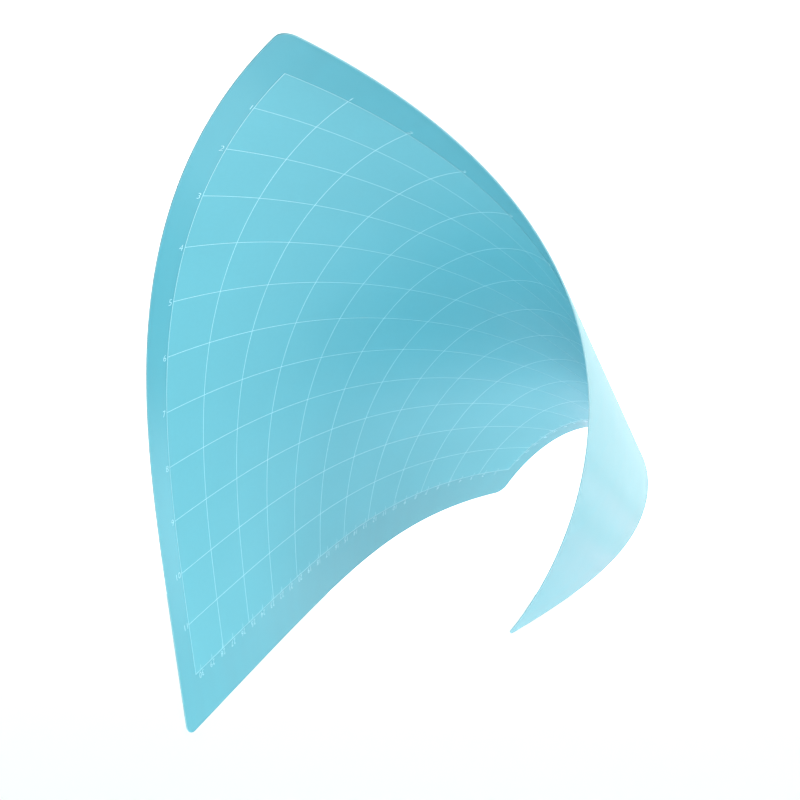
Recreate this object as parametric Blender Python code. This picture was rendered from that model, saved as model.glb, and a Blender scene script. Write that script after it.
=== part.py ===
"""Cutting machine mat, 12 x 12 inch working area.

One thin plastic sheet with a coat of light tack adhesive over its printed
working area. The mat is held sprung into a deep curl, with its printed side
inside the curl. The sheet bends only about straight lines (a flat sheet that
isn't stretched can do nothing else), so it is laid out flat here, cut along
some of those lines into narrow flat bands, and folded a little at each cut.
Every band hangs from an empty on its own fold line, so turning all the
empties back by their fold lays the whole mat flat again.

Units are metres, +Z up. The origin is the centre of the working area, on the
back of the sheet. Looking along +Y shows the printed inside of the curl.
"""
import math

import bmesh
import bpy
from mathutils import Euler, Matrix, Vector

# ---------------------------------------------------------------- the flat mat
INCH = 0.0254
GRID = 12 * INCH             # working area, square
MARGIN_LEFT = 0.495 * INCH   # working area to the sheet's edge
MARGIN_RIGHT = 0.41 * INCH
MARGIN_TOP = 0.95 * INCH
MARGIN_BOTTOM = 1.0 * INCH
CORNER_RADIUS = 0.006
CORNER_STEPS = 5

SHEET_THICKNESS = 0.0006
TACK_CLEARANCE = 0.00015     # air left between the sheet and the coat
TACK_THICKNESS = 0.00015
TACK_CORNER_RADIUS = 0.0005
FOLD_GAP = 0.0003            # width of the cut between two bands

# ------------------------------------------------------------------- the curl
# Two overlapping curls across the diagonal from the lower left to the upper
# right corner: (tightest radius, where along the diagonal, how far it spreads)
WIDE_CURL = (0.157, -0.0754, 0.0705)
TIGHT_CURL = (0.0669, 0.0959, 0.1244)

# The fold lines run nearly square to that diagonal. Their lean is measured
# along the diagonal per unit of length across it.
LEAN = -0.258
LEAN_TREND = -2.99           # per metre along the diagonal, near the centre
TREND_SPREAD = 0.120
LEAN_AT_TIGHT_CURL = 0.377   # added around the tight curl
LEAN_CENTRE = 0.091
LEAN_SPREAD = 0.085
LEAN_AT_LOWER_LEFT = 0.52    # fans out towards the two held corners
LEAN_AT_UPPER_RIGHT = 0.71
FAN_REACH = 0.240

BANDS = 28                   # shares that the sheet is cut into
DIAGONAL = 0.238             # half of the diagonal that the shares cover
EVENNESS = 0.4               # keeps bands from growing wide where it is flat

# How the centre band is held in the air
HOLD_ANGLES = (157.87, -14.87, -9.55)   # degrees about X, Y, Z

SHEET_COLOUR = (0.17, 0.56, 0.68, 1.0)
TACK_COLOUR = (0.22, 0.56, 0.66, 1.0)

HALF_ROOT = math.sqrt(0.5)


# ------------------------------------------------------------------ the rules
def curvature(s):
    """Bend of the sheet, per metre, at s along the diagonal."""
    return sum(math.exp(-((s - centre) / spread) ** 2) / radius
               for radius, centre, spread in (WIDE_CURL, TIGHT_CURL))


def lean(s):
    """Lean of the fold line that crosses the diagonal at s."""
    reach = min(abs(s), 0.262) / FAN_REACH
    fan = LEAN_AT_LOWER_LEFT if s < 0 else LEAN_AT_UPPER_RIGHT
    trend = LEAN_TREND * s * math.exp(-(s / TREND_SPREAD) ** 2)
    bump = math.exp(-((s - LEAN_CENTRE) / LEAN_SPREAD) ** 2)
    return LEAN + trend + LEAN_AT_TIGHT_CURL * bump + fan * reach ** 4


def stations():
    """Where the bands' middles and the fold lines cross the diagonal.

    The tighter the bend, the narrower the bands, and one band is centred on
    the middle of the working area."""
    steps = 952
    width = 2 * DIAGONAL / steps
    xs = [-DIAGONAL + width * i for i in range(steps + 1)]
    weight = [math.sqrt(curvature(x) + EVENNESS) for x in xs]
    total = [0.0]
    for i in range(steps):
        total.append(total[-1] + 0.5 * (weight[i] + weight[i + 1]) * width)

    def place(share):
        target = share * total[-1]
        i = next(i for i in range(steps) if total[i + 1] >= target or i == steps - 1)
        return xs[i] + (target - total[i]) / (total[i + 1] - total[i]) * width

    centre = total[steps // 2] / total[-1]
    below = int((centre - 0.02) * BANDS - 0.5) + 1    # folds on each side
    above = int((1 - centre - 0.02) * BANDS - 0.5) + 1
    middles = [place(centre + k / BANDS) for k in range(-below + 1, above)]
    folds = [place(centre + (k + 0.5) / BANDS) for k in range(-below, above)]
    # the two corner bands reach from the last fold to the corner
    middles = [place((centre - (below - 0.5) / BANDS) / 2)] + middles
    middles = middles + [place((1 + centre + (above - 0.5) / BANDS) / 2)]
    return middles, folds, below


def fold_angle(a, b):
    """Turn of the sheet between two stations, by Simpson's rule."""
    steps = 8
    width = (b - a) / steps
    value = [curvature(a + width * i) * math.sqrt(1 + lean(a + width * i) ** 2)
             for i in range(steps + 1)]
    return width / 3 * (value[0] + value[-1] + 4 * sum(value[1:-1:2])
                        + 2 * sum(value[2:-1:2]))


# ------------------------------------------------------------------ flat shapes
# Flat shapes are lists of (s, t): s runs along the diagonal to the upper right,
# t across it to the upper left, both from the centre of the working area.
def to_diagonal(u, v):
    return ((u + v) * HALF_ROOT, (v - u) * HALF_ROOT)


def rounded_rectangle(left, right, bottom, top, radius, steps):
    corners = ((right - radius, top - radius, 0), (left + radius, top - radius, 90),
               (left + radius, bottom + radius, 180), (right - radius, bottom + radius, 270))
    points = []
    for u, v, first in corners:
        for i in range(steps + 1):
            turn = math.radians(first + 90.0 * i / steps)
            points.append(to_diagonal(u + radius * math.cos(turn),
                                      v + radius * math.sin(turn)))
    return points


def trimmed(points, s, slope, side):
    """The part of a convex outline on one side of a fold line, which stands
    back from the line by half of the gap. side is +1 to keep what lies
    further along the diagonal, or -1."""
    length = math.sqrt(1 + slope * slope)

    def depth(p):
        return side * ((p[0] - s) - slope * p[1]) / length - FOLD_GAP / 2

    kept = []
    for i, p in enumerate(points):
        q = points[(i + 1) % len(points)]
        dp, dq = depth(p), depth(q)
        if dp >= 0:
            kept.append(p)
        if (dp >= 0) != (dq >= 0):
            share = dp / (dp - dq)
            kept.append((p[0] + (q[0] - p[0]) * share, p[1] + (q[1] - p[1]) * share))
    clean = []
    for p in kept:
        if not clean or math.dist(p, clean[-1]) > 2e-5:
            clean.append(p)
    if len(clean) > 1 and math.dist(clean[0], clean[-1]) <= 2e-5:
        clean.pop()
    return clean


def area(points):
    return 0.5 * sum(p[0] * q[1] - q[0] * p[1]
                     for p, q in zip(points, points[1:] + points[:1]))


# ---------------------------------------------------------------------- frames
def line_frame(s, slope):
    """Flat frame on a fold line: X along the line, Z out of the printed side."""
    along = Vector((slope, 1.0, 0.0)).normalized()
    up = Vector((0.0, 0.0, 1.0))
    across = up.cross(along)
    frame = Matrix((along, across, up)).transposed().to_4x4()
    frame.translation = Vector((s, 0.0, 0.0))
    return frame


def material(name, colour, roughness):
    made = bpy.data.materials.new(name)
    made.use_nodes = True
    shader = made.node_tree.nodes["Principled BSDF"]
    shader.inputs["Base Color"].default_value = colour
    shader.inputs["Roughness"].default_value = roughness
    shader.inputs["Metallic"].default_value = 0.0
    return made


def empty(name, parent, matrix):
    made = bpy.data.objects.new(name, None)
    made.empty_display_size = 0.01
    bpy.context.scene.collection.objects.link(made)
    made.parent = parent
    made.matrix_local = matrix
    return made


def plate(name, outline, frame, low, high, parent, colour, roughness):
    """A flat outline made into a thin closed solid, in its fold line's frame."""
    into = frame.inverted()
    if area(outline) < 0:
        outline = outline[::-1]
    bm = bmesh.new()
    base = [bm.verts.new(into @ Vector((s, t, low))) for s, t in outline]
    bottom = bm.faces.new(base)
    grown = bmesh.ops.extrude_face_region(bm, geom=[bottom])
    lifted = [v for v in grown["geom"] if isinstance(v, bmesh.types.BMVert)]
    bmesh.ops.translate(bm, verts=lifted, vec=(0.0, 0.0, high - low))
    bmesh.ops.recalc_face_normals(bm, faces=bm.faces)
    mesh = bpy.data.meshes.new(name)
    bm.to_mesh(mesh)
    bm.free()
    mesh.materials.append(material(name, colour, roughness))
    made = bpy.data.objects.new(name, mesh)
    bpy.context.scene.collection.objects.link(made)
    made.parent = parent
    return made


# ----------------------------------------------------------------- the assembly
def build():
    for old in list(bpy.data.objects):
        bpy.data.objects.remove(old, do_unlink=True)

    middles, folds, centre = stations()
    count = len(middles)
    sheet = rounded_rectangle(-GRID / 2 - MARGIN_LEFT, GRID / 2 + MARGIN_RIGHT,
                              -GRID / 2 - MARGIN_BOTTOM, GRID / 2 + MARGIN_TOP,
                              CORNER_RADIUS, CORNER_STEPS)
    tack = rounded_rectangle(-GRID / 2, GRID / 2, -GRID / 2, GRID / 2,
                             TACK_CORNER_RADIUS, 1)

    held = Euler([math.radians(a) for a in HOLD_ANGLES], "XYZ").to_matrix().to_4x4()
    hold = empty("mat_hold", None, held @ Matrix.Translation((0, 0, SHEET_THICKNESS / 2)))

    # the empties: one on each fold line, each hung from the one nearer the centre
    frames, carriers = [None] * count, [None] * count
    frames[centre], carriers[centre] = Matrix.Identity(4), hold
    outward = [(k, k - 1, k - 1, -1) for k in range(centre + 1, count)]
    outward += [(k, k + 1, k, 1) for k in range(centre - 1, -1, -1)]
    for band, inner, fold, side in outward:
        s = folds[fold]
        frames[band] = line_frame(s, lean(s))
        turn = side * fold_angle(middles[fold], middles[fold + 1])
        carriers[band] = empty("fold_%02d" % (fold + 1), carriers[inner],
                               frames[inner].inverted() @ frames[band]
                               @ Matrix.Rotation(turn, 4, "X"))

    half = SHEET_THICKNESS / 2
    for k in range(count):
        pieces = (("sheet_band", sheet, -half, half, SHEET_COLOUR, 0.45),
                  ("tack_band", tack, half + TACK_CLEARANCE,
                   half + TACK_CLEARANCE + TACK_THICKNESS, TACK_COLOUR, 0.30))
        for kind, outline, low, high, colour, roughness in pieces:
            cut = outline
            if k > 0:
                cut = trimmed(cut, folds[k - 1], lean(folds[k - 1]), 1)
            if k < count - 1 and cut:
                cut = trimmed(cut, folds[k], lean(folds[k]), -1)
            if len(cut) < 3 or abs(area(cut)) < 2e-5:
                continue
            plate("%s_%02d" % (kind, k + 1), cut, frames[k], low, high,
                  carriers[k], colour, roughness)
    bpy.context.view_layer.update()


build()
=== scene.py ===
import math

import bmesh
import bpy
import numpy as np
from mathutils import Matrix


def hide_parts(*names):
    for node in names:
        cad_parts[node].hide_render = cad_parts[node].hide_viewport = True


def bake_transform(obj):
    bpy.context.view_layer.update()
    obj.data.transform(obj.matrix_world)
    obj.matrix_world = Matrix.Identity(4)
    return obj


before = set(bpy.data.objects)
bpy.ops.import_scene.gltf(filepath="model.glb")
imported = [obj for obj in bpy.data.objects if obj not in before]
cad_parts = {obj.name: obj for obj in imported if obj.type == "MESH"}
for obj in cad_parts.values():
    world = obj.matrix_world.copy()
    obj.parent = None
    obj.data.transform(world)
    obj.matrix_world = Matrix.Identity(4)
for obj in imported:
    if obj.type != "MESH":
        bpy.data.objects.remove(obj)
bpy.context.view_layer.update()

# ------------------------------------------------- the mat, as in the CAD source
INCH = 0.0254
GRID = 12 * INCH
MARGIN_LEFT = 0.495 * INCH
MARGIN_RIGHT = 0.41 * INCH
MARGIN_TOP = 0.95 * INCH
MARGIN_BOTTOM = 1.0 * INCH
CORNER_RADIUS = 0.006
SHEET_THICKNESS = 0.0006
WIDE_CURL = (0.157, -0.0754, 0.0705)
TIGHT_CURL = (0.0669, 0.0959, 0.1244)
LEAN = -0.258
LEAN_TREND = -2.99
TREND_SPREAD = 0.120
LEAN_AT_TIGHT_CURL = 0.377
LEAN_CENTRE = 0.091
LEAN_SPREAD = 0.085
LEAN_AT_LOWER_LEFT = 0.52
LEAN_AT_UPPER_RIGHT = 0.71
FAN_REACH = 0.240
BANDS = 28
DIAGONAL = 0.238
EVENNESS = 0.4
HOLD_ANGLES = (157.87, -14.87, -9.55)

# ------------------------------------------------------------------ the surface
HALF = SHEET_THICKNESS / 2
RIM = 0.00010            # small chamfer all round the sheet's edge
TACK_TOP = HALF + 0.00005
INK = 0.00004            # thickness of the printed ink
CORNER_STEPS = 12
CELL = 0.012             # longest cell along a straight line of the surface
SHARES = (0.012, 0.1, 0.2, 0.3, 0.4, 0.5, 0.6, 0.7, 0.8, 0.9, 0.988)
CORNER_CUTS = 0.004      # spacing of the cuts beyond the first and last middle
TINY = 1e-7

# -------------------------------------------------------------------- the print
LINE = 0.00020           # width of the grid's lines
TICK = 0.00018
TICK_LENGTH = 0.0024
DIGIT_HEIGHT = 0.0031
DIGIT_GAP = 0.0008       # from a scale's line to its numbers
THINNER = 0.00009        # taken off each side of a digit's strokes
HALF_ROOT = math.sqrt(0.5)


# ------------------------------------------------------------- rules of the curl
def curvature(s):
    return sum(math.exp(-((s - centre) / spread) ** 2) / radius
               for radius, centre, spread in (WIDE_CURL, TIGHT_CURL))


def lean(s):
    reach = min(abs(s), 0.262) / FAN_REACH
    fan = LEAN_AT_LOWER_LEFT if s < 0 else LEAN_AT_UPPER_RIGHT
    trend = LEAN_TREND * s * math.exp(-(s / TREND_SPREAD) ** 2)
    bump = math.exp(-((s - LEAN_CENTRE) / LEAN_SPREAD) ** 2)
    return LEAN + trend + LEAN_AT_TIGHT_CURL * bump + fan * reach ** 4


def stations():
    steps = 952
    width = 2 * DIAGONAL / steps
    xs = [-DIAGONAL + width * i for i in range(steps + 1)]
    weight = [math.sqrt(curvature(x) + EVENNESS) for x in xs]
    total = [0.0]
    for i in range(steps):
        total.append(total[-1] + 0.5 * (weight[i] + weight[i + 1]) * width)

    def place(share):
        target = share * total[-1]
        i = next(i for i in range(steps) if total[i + 1] >= target or i == steps - 1)
        return xs[i] + (target - total[i]) / (total[i + 1] - total[i]) * width

    centre = total[steps // 2] / total[-1]
    below = int((centre - 0.02) * BANDS - 0.5) + 1
    above = int((1 - centre - 0.02) * BANDS - 0.5) + 1
    middles = [place(centre + k / BANDS) for k in range(-below + 1, above)]
    folds = [place(centre + (k + 0.5) / BANDS) for k in range(-below, above)]
    middles = [place((centre - (below - 0.5) / BANDS) / 2)] + middles
    middles = middles + [place((1 + centre + (above - 0.5) / BANDS) / 2)]
    return middles, folds, below


def fold_angle(a, b):
    steps = 8
    width = (b - a) / steps
    value = [curvature(a + width * i) * math.sqrt(1 + lean(a + width * i) ** 2)
             for i in range(steps + 1)]
    return width / 3 * (value[0] + value[-1] + 4 * sum(value[1:-1:2])
                        + 2 * sum(value[2:-1:2]))


def turn(axis, angle):
    x, y, z = np.array(axis, float) / np.linalg.norm(axis)
    k = np.array([[0, -z, y], [z, 0, -x], [-y, x, 0]])
    return np.eye(3) + math.sin(angle) * k + (1 - math.cos(angle)) * k @ k


MIDDLES, FOLDS, CENTRE = stations()
COUNT = len(MIDDLES)
LEAN_MIDDLE = [lean(s) for s in MIDDLES]
LEAN_FOLD = [lean(s) for s in FOLDS]
ANGLES = [fold_angle(MIDDLES[k], MIDDLES[k + 1]) for k in range(COUNT - 1)]


def band_frames():
    """Turn and shift that carry each flat band to its place."""
    rx, ry, rz = (math.radians(a) for a in HOLD_ANGLES)
    held = turn((0, 0, 1), rz) @ turn((0, 1, 0), ry) @ turn((1, 0, 0), rx)
    frames = [None] * COUNT
    frames[CENTRE] = (held, held @ np.array([0, 0, HALF]))

    def step(carrier, fold, angle):
        r, shift = carrier
        pivot = np.array([FOLDS[fold], 0.0, 0.0])
        f = turn((LEAN_FOLD[fold], 1, 0), angle)
        return r @ f, shift + r @ (pivot - f @ pivot)

    for k in range(CENTRE, COUNT - 1):
        frames[k + 1] = step(frames[k], k, -ANGLES[k])
    for k in range(CENTRE - 1, -1, -1):
        frames[k] = step(frames[k + 1], k, ANGLES[k])
    return frames


FRAMES = band_frames()


def bend(s, t, z):
    """Points of the bent sheet from flat ones. Each fold is rounded off by a
    curve that touches both bands along their middle lines."""
    s, t, z = (np.asarray(v, float) for v in (s, t, z))
    where = np.zeros(len(s), int)
    for m, slope in zip(MIDDLES, LEAN_MIDDLE):
        where += s - t * slope >= m
    points, normals = np.zeros((len(s), 3)), np.zeros((len(s), 3))
    for q in range(COUNT + 1):
        here = np.where(where == q)[0]
        if not len(here):
            continue
        ss, tt = s[here], t[here]
        one, zero = np.ones_like(tt), np.zeros_like(tt)
        if q in (0, COUNT):
            r, shift = FRAMES[0 if q == 0 else COUNT - 1]
            points[here] = np.stack([ss, tt, zero], 1) @ r.T + shift
            normals[here] = r[:, 2]
            continue
        k = q - 1
        la, lh, lb = LEAN_MIDDLE[k], LEAN_FOLD[k], LEAN_MIDDLE[k + 1]
        a, h, b = MIDDLES[k] + tt * la, FOLDS[k] + tt * lh, MIDDLES[k + 1] + tt * lb
        square, linear, rest = a - 2 * h + b, 2 * (h - a), a - ss
        root = np.sqrt(np.maximum(linear * linear - 4 * square * rest, 0))
        p = (-2 * rest / (linear + root))[:, None]
        (r0, s0), (r1, s1) = FRAMES[k], FRAMES[k + 1]
        a3 = np.stack([a, tt, zero], 1) @ r0.T + s0
        h3 = np.stack([h, tt, zero], 1) @ r0.T + s0
        b3 = np.stack([b, tt, zero], 1) @ r1.T + s1
        points[here] = (1 - p) ** 2 * a3 + 2 * p * (1 - p) * h3 + p * p * b3
        across = 2 * (1 - p) * (h3 - a3) + 2 * p * (b3 - h3)
        along = ((1 - p) ** 2 * (np.stack([la * one, one, zero], 1) @ r0.T)
                 + 2 * p * (1 - p) * (np.stack([lh * one, one, zero], 1) @ r0.T)
                 + p * p * (np.stack([lb * one, one, zero], 1) @ r1.T))
        n = np.cross(across, along)
        normals[here] = n / np.linalg.norm(n, axis=1)[:, None]
    return points + normals * z[:, None]


# ------------------------------------------------------------- shapes in the flat
def to_diagonal(u, v):
    return ((u + v) * HALF_ROOT, (v - u) * HALF_ROOT)


def from_diagonal(s, t):
    return ((s - t) * HALF_ROOT, (s + t) * HALF_ROOT)


def straight(s, slope):
    """The straight line that crosses the diagonal at s, as (a, b, c): the signed
    distance of a flat point from it is a * s + b * t - c."""
    length = math.sqrt(1 + slope * slope)
    return 1 / length, -slope / length, s / length


class Flat:
    """Convex faces in the flat that share their points, and can be cut."""

    def __init__(self, points=(), faces=()):
        self.points = [tuple(p) for p in points]
        self.faces = [list(f) for f in faces]

    def copy(self):
        return Flat(self.points, self.faces)

    def add(self, other):
        first = len(self.points)
        self.points += other.points
        self.faces += [[i + first for i in f] for f in other.faces]

    def cut(self, line, keep=0):
        """Cuts every face along the line. keep is 1 or -1 to drop the other side."""
        a, b, c = line
        depth = [a * s + b * t - c for s, t in self.points]
        made, faces = {}, []
        for face in self.faces:
            if max(depth[i] for i in face) <= TINY:
                if keep <= 0:
                    faces.append(face)
                continue
            if min(depth[i] for i in face) >= -TINY:
                if keep >= 0:
                    faces.append(face)
                continue
            lower, upper = [], []
            for i, j in zip(face, face[1:] + face[:1]):
                if depth[i] <= TINY:
                    lower.append(i)
                if depth[i] >= -TINY:
                    upper.append(i)
                if min(depth[i], depth[j]) < -TINY and max(depth[i], depth[j]) > TINY:
                    key = (min(i, j), max(i, j))
                    if key not in made:
                        share = depth[key[0]] / (depth[key[0]] - depth[key[1]])
                        p, q = self.points[key[0]], self.points[key[1]]
                        made[key] = len(self.points)
                        self.points.append((p[0] + (q[0] - p[0]) * share,
                                            p[1] + (q[1] - p[1]) * share))
                    lower.append(made[key])
                    upper.append(made[key])
            if keep <= 0 and len(lower) > 2:
                faces.append(lower)
            if keep >= 0 and len(upper) > 2:
                faces.append(upper)
        self.faces = faces
        return self

    def tidy(self):
        """Drops unused points."""
        used = sorted({i for f in self.faces for i in f})
        place = {i: n for n, i in enumerate(used)}
        self.points = [self.points[i] for i in used]
        self.faces = [[place[i] for i in f] for f in self.faces]
        return self


def rounded_rectangle(left, right, bottom, top, radius, steps):
    corners = ((right - radius, top - radius, 0), (left + radius, top - radius, 90),
               (left + radius, bottom + radius, 180), (right - radius, bottom + radius, 270))
    points = []
    for u, v, first in corners:
        for i in range(steps + 1):
            angle = math.radians(first + 90.0 * i / steps)
            points.append(to_diagonal(u + radius * math.cos(angle),
                                      v + radius * math.sin(angle)))
    return points


LEFT, RIGHT = -GRID / 2 - MARGIN_LEFT, GRID / 2 + MARGIN_RIGHT
BOTTOM, TOP = -GRID / 2 - MARGIN_BOTTOM, GRID / 2 + MARGIN_TOP


def outward(s, t):
    """Flat direction out of the sheet at a point of its outline."""
    u, v = from_diagonal(s, t)
    du = u - min(max(u, LEFT + CORNER_RADIUS), RIGHT - CORNER_RADIUS)
    dv = v - min(max(v, BOTTOM + CORNER_RADIUS), TOP - CORNER_RADIUS)
    length = math.hypot(du, dv)
    return to_diagonal(du / length, dv / length)


# ---------------------------------------------------------------------- segments
def across(k, p):
    """The straight line a share p of the way across segment k."""
    w = ((1 - p) ** 2, 2 * p * (1 - p), p * p)
    return straight(w[0] * MIDDLES[k] + w[1] * FOLDS[k] + w[2] * MIDDLES[k + 1],
                    w[0] * LEAN_MIDDLE[k] + w[1] * LEAN_FOLD[k] + w[2] * LEAN_MIDDLE[k + 1])


SEGMENTS = COUNT - 1


def clipped(flat, k):
    """What lies on segment k. The first and last reach to the sheet's corners."""
    part = flat.copy()
    if k > 0:
        part.cut(across(k, 0), keep=1)
    if k < SEGMENTS - 1:
        part.cut(across(k, 1), keep=-1)
    return part.tidy()


def ruled(part, k):
    """Cuts a part along the straight lines of segment k."""
    for p in SHARES:
        part.cut(across(k, p))
    if k in (0, SEGMENTS - 1):
        edge = MIDDLES[0] if k == 0 else MIDDLES[-1]
        slope = LEAN_MIDDLE[0] if k == 0 else LEAN_MIDDLE[-1]
        for i in range(0, 16):
            reach = CORNER_CUTS * i * (1 if k else -1)
            part.cut(straight(edge + reach, slope))
    return part


def solid(name, part, low, high, rim=0.0, k=None):
    """Makes a closed shell from flat faces, from height low to high. With a rim,
    the outline, but not the cuts between segments, gets a small chamfer."""
    part.tidy()
    points, faces = part.points, part.faces
    n = len(points)
    flat_s = [p[0] for p in points] * 2
    flat_t = [p[1] for p in points] * 2
    height = [high] * n + [low] * n
    shell = [list(f) for f in faces] + [[i + n for i in reversed(f)] for f in faces]
    directed = {(i, j) for f in faces for i, j in zip(f, f[1:] + f[:1])}
    border = sorted(e for e in directed if (e[1], e[0]) not in directed)
    lines = []
    if rim:
        lines += [across(k, 0)] if k > 0 else []
        lines += [across(k, 1)] if k < SEGMENTS - 1 else []

    def on_cut(i, j):
        return any(abs(a * points[i][0] + b * points[i][1] - c) < 5e-7
                   and abs(a * points[j][0] + b * points[j][1] - c) < 5e-7
                   for a, b, c in lines)

    rings = {}

    def ring(i):
        if i not in rings:
            ds, dt = outward(*points[i])
            rings[i] = (len(flat_s), len(flat_s) + 1)
            for z in (high - rim, low + rim):
                flat_s.append(points[i][0] + ds * rim)
                flat_t.append(points[i][1] + dt * rim)
                height.append(z)
        return rings[i]

    cut_from, cut_to, rim_faces = set(), set(), []
    for i, j in border:
        if not rim or on_cut(i, j):
            shell.append([i + n, j + n, j, i])
            cut_from.add(i)
            cut_to.add(j)
            continue
        (i1, i2), (j1, j2) = ring(i), ring(j)
        rim_faces += range(len(shell), len(shell) + 3)
        shell += [[i1, j1, j, i], [i2, j2, j1, i1], [i + n, j + n, j2, i2]]
    for i, (r1, r2) in rings.items():
        if i in cut_from and i not in cut_to:
            shell.append([i, r1, r2, i + n])
        elif i in cut_to and i not in cut_from:
            shell.append([i + n, r2, r1, i])
    mesh = bpy.data.meshes.new(name)
    mesh.from_pydata(bend(flat_s, flat_t, height).tolist(), [], shell)
    mesh.shade_smooth()
    mesh.set_sharp_from_angle(angle=math.radians(30))
    for face in rim_faces:
        mesh.polygons[face].material_index = 1
    layer = mesh.uv_layers.new(name="Flat")
    flat = np.array([from_diagonal(s, t) for s, t in zip(flat_s, flat_t)])
    corner = np.zeros(len(mesh.loops), np.int32)
    mesh.loops.foreach_get("vertex_index", corner)
    layer.data.foreach_set("uv", flat[corner].astype(np.float32).ravel())
    made = bpy.data.objects.new(name, mesh)
    bpy.context.scene.collection.objects.link(made)
    return made


# ------------------------------------------------------------------- what's drawn
def box_of(u0, u1, v0, v1):
    corners = [to_diagonal(*p) for p in ((u0, v0), (u1, v0), (u1, v1), (u0, v1))]
    return Flat(corners, [[0, 1, 2, 3]])


def grid_lines():
    """The grid as one net of joined lines."""
    net = box_of(-GRID / 2 - LINE / 2, GRID / 2 + LINE / 2,
                 -GRID / 2 - LINE / 2, GRID / 2 + LINE / 2)
    for i in range(13):
        for side in (-1, 1):
            at = (i - 6) * INCH + side * LINE / 2
            if abs(at) < GRID / 2:
                # u = (s - t) * HALF_ROOT and v = (s + t) * HALF_ROOT
                net.cut((HALF_ROOT, -HALF_ROOT, at))
                net.cut((HALF_ROOT, HALF_ROOT, at))

    def near(x):
        return abs(x - round(x / INCH) * INCH) <= LINE / 2

    kept = []
    for face in net.faces:
        s = sum(net.points[i][0] for i in face) / len(face)
        t = sum(net.points[i][1] for i in face) / len(face)
        u, v = from_diagonal(s, t)
        if near(u) or near(v):
            kept.append(face)
    net.faces = kept
    return net.tidy()


def numeral(text):
    """A number's flat faces, with its lower left at the origin, and its width."""
    curve = bpy.data.curves.new("numeral", "FONT")
    curve.body = text
    curve.size = DIGIT_HEIGHT / 0.729
    curve.space_character = 1.06
    curve.resolution_u = 3
    curve.fill_mode = "FRONT"
    curve.offset = -THINNER
    holder = bpy.data.objects.new("numeral", curve)
    bpy.context.scene.collection.objects.link(holder)
    bpy.context.view_layer.update()
    mesh = bpy.data.meshes.new_from_object(holder.evaluated_get(
        bpy.context.evaluated_depsgraph_get()))
    mesh.calc_loop_triangles()
    welded, points, place = {}, [], []
    for v in mesh.vertices:
        key = (round(v.co.x * 1e7), round(v.co.y * 1e7))
        if key not in welded:
            welded[key] = len(points)
            points.append((v.co.x, v.co.y))
        place.append(welded[key])
    faces = []
    for triangle in mesh.loop_triangles:
        face = [place[i] for i in triangle.vertices]
        (ax, ay), (bx, by), (cx, cy) = (points[i] for i in face)
        size = (bx - ax) * (cy - ay) - (cx - ax) * (by - ay)
        if len(set(face)) == 3 and abs(size) > 1e-13:
            faces.append(face if size > 0 else face[::-1])
    bpy.data.objects.remove(holder, do_unlink=True)
    bpy.data.meshes.remove(mesh)
    bpy.data.curves.remove(curve)
    xs, ys = [p[0] for p in points], [p[1] for p in points]
    shifted = [(x - min(xs), y - min(ys)) for x, y in points]
    return shifted, faces, max(xs) - min(xs), max(ys) - min(ys)


def placed(glyph, u, v, across_share, up_share, half_turn=False):
    """A number whose point at those shares of its width and height is at (u, v)."""
    points, faces, wide, tall = glyph
    sign = -1 if half_turn else 1
    moved = [to_diagonal(u + sign * (x - across_share * wide),
                         v + sign * (y - up_share * tall)) for x, y in points]
    return Flat(moved, faces)


def print_on_sheet():
    """Numbers in the margins, on the bare sheet."""
    glyphs = {n: numeral(str(n)) for n in range(1, 31)}
    drawn = Flat()
    edge = GRID / 2 + LINE / 2 + DIGIT_GAP
    for n in range(1, 12):
        drawn.add(placed(glyphs[n], -edge, GRID / 2 - n * INCH, 1.0, 0.5))
        drawn.add(placed(glyphs[n], -GRID / 2 + n * INCH, edge, 0.5, 0.0))
    for n in range(1, 31):
        drawn.add(placed(glyphs[n], GRID / 2 - n * 0.01, -edge, 0.5, 0.0, True))
        drawn.add(placed(glyphs[n], edge, -GRID / 2 + n * 0.01, 1.0, 0.5, True))
    return drawn


def print_on_tack():
    """The grid, and the centimetre marks that stand on its lower and right line."""
    drawn = grid_lines()
    base = GRID / 2 - LINE / 2
    for n in range(1, 31):
        at = GRID / 2 - n * 0.01
        drawn.add(box_of(at - TICK / 2, at + TICK / 2, -base, -base + TICK_LENGTH))
        drawn.add(box_of(base - TICK_LENGTH, base, -at - TICK / 2, -at + TICK / 2))
    return drawn


# --------------------------------------------------------------------- materials
def material(name, colour, roughness, ior=1.46):
    made = bpy.data.materials.new(name)
    made.use_nodes = True
    shader = made.node_tree.nodes["Principled BSDF"]
    shader.inputs["Base Color"].default_value = (*colour, 1.0)
    shader.inputs["Roughness"].default_value = roughness
    shader.inputs["Metallic"].default_value = 0.0
    shader.inputs["IOR"].default_value = ior
    return made, made.node_tree.nodes, made.node_tree.links, shader


def flat_noise(nodes, links, scale, detail, stretch=(1, 1, 1), roughness=0.5):
    """Noise that lies in the flat mat, so that it stays with the plastic."""
    place = nodes.new("ShaderNodeUVMap")
    place.uv_map = "Flat"
    move = nodes.new("ShaderNodeMapping")
    move.inputs["Scale"].default_value = stretch
    noise = nodes.new("ShaderNodeTexNoise")
    noise.inputs["Scale"].default_value = scale
    noise.inputs["Detail"].default_value = detail
    noise.inputs["Roughness"].default_value = roughness
    links.new(place.outputs["UV"], move.inputs["Vector"])
    links.new(move.outputs["Vector"], noise.inputs["Vector"])
    return noise.outputs["Fac"]


def mixed(nodes, links, first, second, share):
    """A share of the second noise laid over the first."""
    node = nodes.new("ShaderNodeMix")
    node.inputs["Factor"].default_value = share
    links.new(first, node.inputs["A"])
    links.new(second, node.inputs["B"])
    return node.outputs["Result"]


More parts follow.
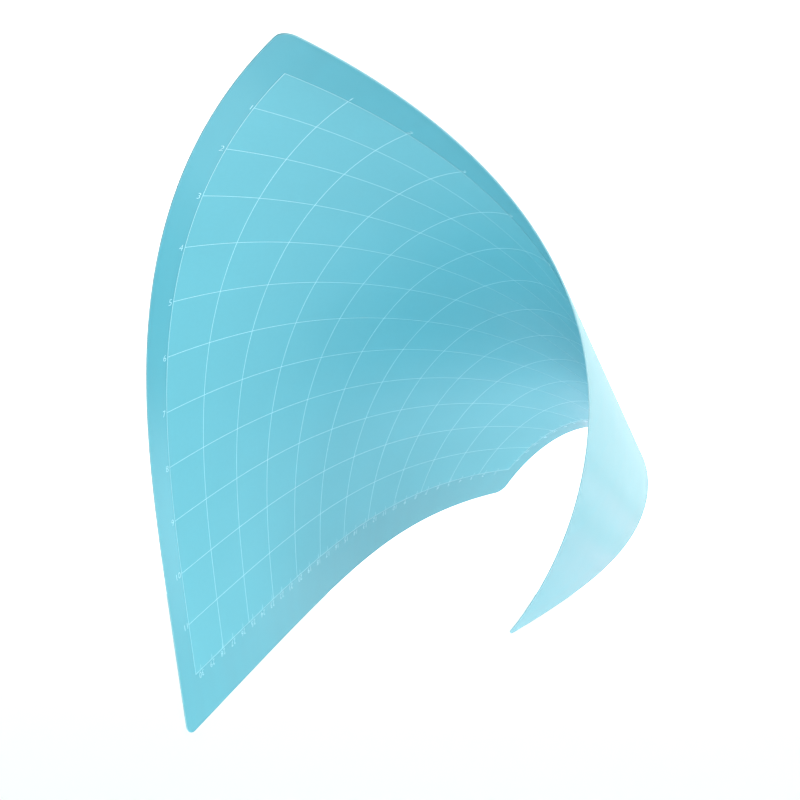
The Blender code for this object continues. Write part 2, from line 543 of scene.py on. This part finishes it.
def grain(nodes, links, value, depth, shader, sockets=("Normal",)):
    node = nodes.new("ShaderNodeBump")
    node.inputs["Strength"].default_value = 1.0
    node.inputs["Distance"].default_value = depth
    links.new(value, node.inputs["Height"])
    for name in sockets:
        links.new(node.outputs["Normal"], shader.inputs[name])


def ramp(nodes, links, value, low, high):
    """Colour ramp or, for two numbers, a map range over the middle of a noise."""
    if isinstance(low, (int, float)):
        node = nodes.new("ShaderNodeMapRange")
        node.inputs["From Min"].default_value = 0.15
        node.inputs["From Max"].default_value = 0.85
        node.inputs["To Min"].default_value = low
        node.inputs["To Max"].default_value = high
        links.new(value, node.inputs["Value"])
        return node.outputs["Result"]
    node = nodes.new("ShaderNodeValToRGB")
    node.color_ramp.elements[0].position = 0.15
    node.color_ramp.elements[0].color = (*low, 1.0)
    node.color_ramp.elements[1].position = 0.85
    node.color_ramp.elements[1].color = (*high, 1.0)
    links.new(value, node.inputs["Fac"])
    return node.outputs["Color"]


SHEET = (0.090, 0.362, 0.454)
# the cut edge's colour, painted paler as a highlight of the light it scatters
EDGE_WITH_PAINTED_HIGHLIGHT = (0.27, 0.50, 0.58)
# the adhesive's colour: its greyness is partly its own haze, partly painted sheen
TACK_WITH_PAINTED_SHEEN = (0.131, 0.419, 0.509)
INK_COLOUR = (0.45, 0.75, 0.84)


def shade(colour, by):
    return tuple(c * by for c in colour)


# bare plastic: a matt grain under a smooth skin
sheet_plastic, nodes, links, shader = material("sheet_plastic", SHEET, 0.72)
shader.inputs["Specular IOR Level"].default_value = 0.18
shader.inputs["Coat Weight"].default_value = 0.68
shader.inputs["Coat Roughness"].default_value = 0.26
shader.inputs["Coat IOR"].default_value = 1.46
mottle = flat_noise(nodes, links, 9.0, 2.0)
streaks = flat_noise(nodes, links, 130.0, 3.0, stretch=(1.0, 0.03, 1.0))
links.new(ramp(nodes, links, mixed(nodes, links, mottle, streaks, 0.5),
               shade(SHEET, 0.94), shade(SHEET, 1.06)), shader.inputs["Base Color"])
links.new(ramp(nodes, links, mixed(nodes, links, flat_noise(nodes, links, 60.0, 3.0),
                                   streaks, 0.6), 0.64, 0.80), shader.inputs["Roughness"])
grain(nodes, links, flat_noise(nodes, links, 1600.0, 2.0), 0.000012, shader)

# where the plastic was cut it is rough, and painted paler: a painted highlight for the light
# the sheet scatters out at its cut edge
sheet_edge, nodes, links, shader = material("sheet_edge", EDGE_WITH_PAINTED_HIGHLIGHT, 0.7)
shader.inputs["Specular IOR Level"].default_value = 0.3
links.new(ramp(nodes, links, flat_noise(nodes, links, 300.0, 2.0),
               shade(EDGE_WITH_PAINTED_HIGHLIGHT, 0.94), shade(EDGE_WITH_PAINTED_HIGHLIGHT, 1.06)), shader.inputs["Base Color"])

# the coat of adhesive, soft in its shine: greyer than the bare plastic, partly from its own
# milky haze and partly painted sheen, the pale shine it takes from the room put into its
# colour
tack_coat, nodes, links, shader = material("tack_coat", TACK_WITH_PAINTED_SHEEN, 0.46)
shader.inputs["Specular IOR Level"].default_value = 0.08
mottle = flat_noise(nodes, links, 14.0, 3.0)
specks = flat_noise(nodes, links, 520.0, 4.0, roughness=0.6)
links.new(ramp(nodes, links, mixed(nodes, links, mottle, specks, 0.35),
               shade(TACK_WITH_PAINTED_SHEEN, 0.94), shade(TACK_WITH_PAINTED_SHEEN, 1.06)), shader.inputs["Base Color"])
grain(nodes, links, flat_noise(nodes, links, 900.0, 3.0), 0.00002, shader)
links.new(ramp(nodes, links, flat_noise(nodes, links, 45.0, 4.0), 0.40, 0.52),
          shader.inputs["Roughness"])

print_ink, nodes, links, shader = material("print_ink", INK_COLOUR, 0.6)
shader.inputs["Specular IOR Level"].default_value = 0.2
links.new(ramp(nodes, links, flat_noise(nodes, links, 700.0, 2.0),
               shade(INK_COLOUR, 0.94), shade(INK_COLOUR, 1.03)),
          shader.inputs["Base Color"])


# ------------------------------------------------------------------------ pieces
def cells(part, k):
    """Cuts along the surface's straight lines, and across them every CELL."""
    ruled(part, k)
    ts = [p[1] for p in part.points]
    for i in range(math.floor(min(ts) / CELL) + 1, math.ceil(max(ts) / CELL)):
        part.cut((0.0, 1.0, i * CELL))
    return part


def bends(piece, k):
    """Bakes the placement of a piece of segment k into its mesh; the way between the two
    bands that it works out is not used.
    """
    r0, shift = FRAMES[k]
    r1 = FRAMES[k + 1][0]
    length = math.sqrt(1 + LEAN_FOLD[k] ** 2)
    square = np.array([1 / length, -LEAN_FOLD[k] / length, 0.0])
    way = r0 @ square + r1 @ square
    way /= np.linalg.norm(way)
    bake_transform(piece)


sheet_flat = Flat(rounded_rectangle(LEFT + RIM, RIGHT - RIM, BOTTOM + RIM, TOP - RIM,
                                    CORNER_RADIUS - RIM, CORNER_STEPS),
                  [list(range(4 * (CORNER_STEPS + 1)))])
tack_flat = Flat(rounded_rectangle(-GRID / 2, GRID / 2, -GRID / 2, GRID / 2, 0.0005, 2),
                 [list(range(12))])
margin_print, grid_print = print_on_sheet(), print_on_tack()

for k in range(SEGMENTS):
    number = "%02d" % (k + 1)
    part = cells(clipped(sheet_flat, k), k)
    piece = solid("sheet_segment_" + number, part, -HALF, HALF, rim=RIM, k=k)
    piece.data.materials.append(sheet_plastic)
    piece.data.materials.append(sheet_edge)
    bends(piece, k)
    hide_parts("sheet_band_" + number)
    if k == SEGMENTS - 1:
        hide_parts("sheet_band_%02d" % (k + 2))

    part = clipped(tack_flat, k)
    if part.faces:
        piece = solid("tack_film_" + number, cells(part, k), HALF, TACK_TOP)
        piece.data.materials.append(tack_coat)
        bends(piece, k)
        if "tack_band_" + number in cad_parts:
            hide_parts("tack_band_" + number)

    for name, drawn, low in (("scale_numbers_", margin_print, HALF),
                             ("grid_print_", grid_print, TACK_TOP)):
        part = clipped(drawn, k)
        if part.faces:
            piece = solid(name + number, ruled(part, k), low, low + INK)
            piece.data.materials.append(print_ink)
            bends(piece, k)

# ------------------------------------------------------------------------- stage
scene = bpy.context.scene
scene.view_settings.view_transform = "Standard"
scene.view_settings.look = "None"

FLOOR_GLOW, BACKDROP_GLOW = 0.0, 0.68


def pale(name, glow):
    made, nodes, links, shader = material(name, (0.90, 0.90, 0.90), 0.9)
    shader.inputs["Emission Color"].default_value = (1.0, 1.0, 1.0, 1.0)
    shader.inputs["Emission Strength"].default_value = glow
    return made


floor_material = pale("floor", FLOOR_GLOW)
backdrop_material = pale("backdrop", BACKDROP_GLOW)


def cyclorama(name, low, front, back, height, wide, radius):
    """A floor that curves up into a backdrop."""
    profile = [(front, low), (back - radius, low)]
    for i in range(1, 25):
        angle = math.radians(90.0 * i / 24)
        profile.append((back - radius + radius * math.sin(angle),
                        low + radius * (1 - math.cos(angle))))
    profile.append((back, low + height))
    points = [(x, y, z) for x in (-wide, wide) for y, z in profile]
    n = len(profile)
    faces = [[i, i + n, i + n + 1, i + 1] for i in range(n - 1)]
    mesh = bpy.data.meshes.new(name)
    mesh.from_pydata(points, [], faces)
    mesh.shade_smooth()
    made = bpy.data.objects.new(name, mesh)
    scene.collection.objects.link(made)
    mesh.materials.append(floor_material)
    mesh.materials.append(backdrop_material)
    for i, face in enumerate(mesh.polygons):
        face.material_index = 0 if i == 0 else 1
    return made


floor = cyclorama("floor", -0.42, -6.0, 3.5, 6.0, 7.0, 1.5)


def surround(name, radius, glow):
    """A pale dome far behind everything, which lets the lights through."""
    shell = bmesh.new()
    bmesh.ops.create_uvsphere(shell, u_segments=48, v_segments=24, radius=radius)
    mesh = bpy.data.meshes.new(name)
    shell.to_mesh(mesh)
    shell.free()
    mesh.shade_smooth()
    made, nodes, links, shader = material(name, (0.0, 0.0, 0.0), 1.0)
    shader.inputs["Specular IOR Level"].default_value = 0.0
    shader.inputs["Emission Color"].default_value = (1.0, 1.0, 1.0, 1.0)
    shader.inputs["Emission Strength"].default_value = glow
    mesh.materials.append(made)
    dome = bpy.data.objects.new(name, mesh)
    scene.collection.objects.link(dome)
    dome.visible_diffuse = dome.visible_glossy = dome.visible_shadow = False
    dome.visible_transmission = dome.visible_volume_scatter = False
    return dome


dome = surround("surround", 14.0, 0.83)


def towards(azimuth, elevation):
    """Direction from the mat: azimuth 0 is the camera's side, 90 the right."""
    a, e = math.radians(azimuth), math.radians(elevation)
    return (math.sin(a) * math.cos(e), -math.cos(a) * math.cos(e), math.sin(e))


# two large soft windows of light, as broad lobes: (azimuth, elevation, colour)
WINDOWS = ((30.0, 8.0, (4.15, 5.62, 5.43)), (72.0, 64.0, (3.54, 3.35, 3.35)))
LOBE = 10.0
world = bpy.data.worlds.new("studio")
world.use_nodes = True
nodes, links = world.node_tree.nodes, world.node_tree.links
ray = nodes.new("ShaderNodeTexCoord").outputs["Generated"]
light = None
for azimuth, elevation, colour in WINDOWS:
    facing = nodes.new("ShaderNodeVectorMath")
    facing.operation = "DOT_PRODUCT"
    facing.inputs[1].default_value = towards(azimuth, elevation)
    links.new(ray, facing.inputs[0])
    value = facing.outputs["Value"]
    for operation, number in (("MAXIMUM", 0.0), ("POWER", LOBE)):
        node = nodes.new("ShaderNodeMath")
        node.operation = operation
        node.inputs[1].default_value = number
        links.new(value, node.inputs[0])
        value = node.outputs["Value"]
    lobe = nodes.new("ShaderNodeVectorMath")
    lobe.operation = "SCALE"
    lobe.inputs[0].default_value = colour
    links.new(value, lobe.inputs["Scale"])
    if light:
        both = nodes.new("ShaderNodeVectorMath")
        both.operation = "ADD"
        links.new(light, both.inputs[0])
        links.new(lobe.outputs["Vector"], both.inputs[1])
        lobe = both
    light = lobe.outputs["Vector"]
links.new(light, nodes["Background"].inputs["Color"])
nodes["Background"].inputs["Strength"].default_value = 1.0
scene.world = world

# cards that lie about the floor and throw light up: (x, y, side, radiance, tint)
COOL, WARM = (0.74, 1.09, 1.17), (1.42, 0.77, 0.81)
CARDS = ((1.35, 1.00, 0.4, 2.92, COOL), (0.30, -0.25, 0.3, 1.50, (1.85, 0.63, 0.52)),
         (0.30, 1.10, 0.5, 1.04, WARM), (-0.30, 0.10, 0.3, 0.83, WARM),
         (0.00, -0.25, 0.3, 0.63, (0.23, 1.34, 1.43)), (0.00, 0.10, 0.3, 0.36, COOL),
         (0.80, 1.60, 0.5, 0.24, WARM), (0.80, 1.10, 0.5, 0.23, (1.0, 1.0, 1.0)),
         (0.30, 0.70, 0.3, 0.16, WARM))
for i, (x, y, side, radiance, tint) in enumerate(CARDS):
    data = bpy.data.lights.new("card_%d" % (i + 1), "AREA")
    data.shape = "SQUARE"
    data.size = side
    data.energy = 10 * side ** 2 * radiance
    data.color = tint
    card = bpy.data.objects.new("card_%d" % (i + 1), data)
    card.location = (x, y, -0.41)
    card.rotation_euler = (math.pi, 0.0, 0.0)
    card.visible_camera = False
    # a strong tint would show as a coloured gleam
    card.visible_glossy = max(tint) - min(tint) < 1.0
    scene.collection.objects.link(card)

# ------------------------------------------------------------------------ camera
camera_data = bpy.data.cameras.new("camera")
camera_data.sensor_width = 36.0
camera_data.lens = 61.0270
camera_data.clip_start = 0.01
camera_data.clip_end = 50.0
camera = bpy.data.objects.new("camera", camera_data)
camera.location = (-0.01356835, -0.66366562, -0.03893092)
camera.rotation_euler = (math.radians(90), 0.0, 0.0)
scene.collection.objects.link(camera)
scene.camera = camera
